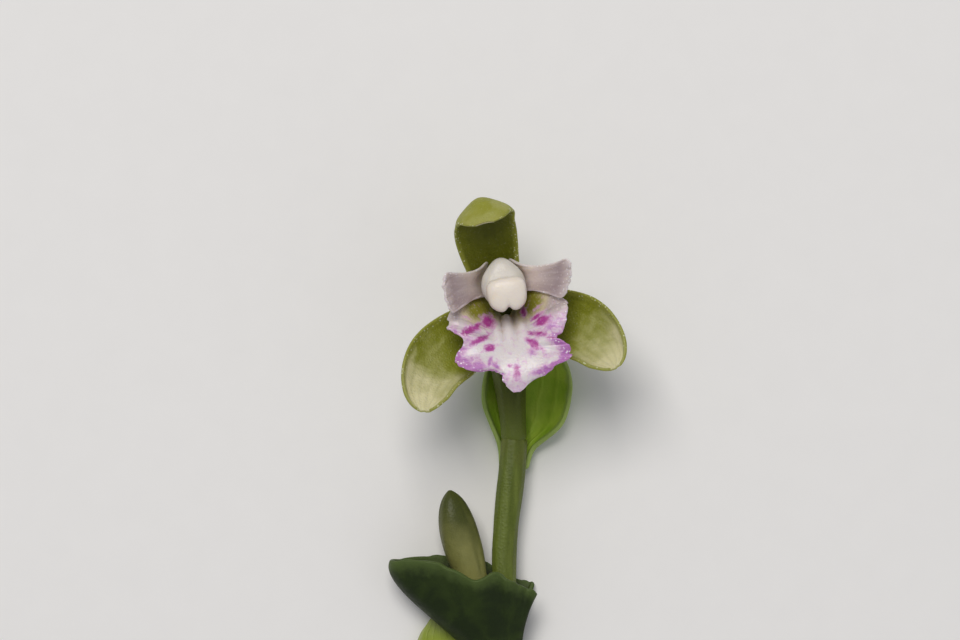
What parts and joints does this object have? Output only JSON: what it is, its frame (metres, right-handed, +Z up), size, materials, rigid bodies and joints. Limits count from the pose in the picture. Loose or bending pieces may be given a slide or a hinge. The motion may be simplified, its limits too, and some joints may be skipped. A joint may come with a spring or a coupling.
{
  "type": "picked orchid shoot",
  "caption": "Picked shoot of a small orchid lying on its back: a flower with hooded and spread sepals, a spotted frilled lip and a pale column, with a bract, a bud, a stem and clasping leaves",
  "frame": {"origin": "centre of the foot of the bounding box, on the surface that the shoot lies on", "axes": "+Y along the stem towards the flower, +Z up out of the surface, towards whoever looks into the flower, +X to the right of that person"},
  "size_m": [0.0124, 0.0302, 0.0089],
  "materials": {
    "stem": "living green tissue, satin, faintly ribbed",
    "bract": "living green leaf with a paler margin, satin",
    "sepal": "yellow-green petal tissue with glistening cells",
    "petal": "thin translucent lilac-grey petal tissue",
    "lip": "white petal tissue with magenta blotches and lilac margins",
    "column": "waxy cream-white tissue",
    "anther": "waxy ivory tissue",
    "bud": "pale yellow-green tissue with an olive tip",
    "leaf": "dark green leaf, satin, purplish beneath"
  },
  "bodies": {
    "root": {"stem": "stem", "ovary": "stem", "floral_bract": "bract", "dorsal_sepal": "sepal", "lateral_sepal_left": "sepal", "lateral_sepal_right": "sepal", "petal_left": "petal", "petal_right": "petal", "lip": "lip", "column": "column", "anther_cap": "anther", "flower_bud": "bud", "middle_leaf": "leaf", "lower_leaf": "leaf"}
  },
  "joints": []
}
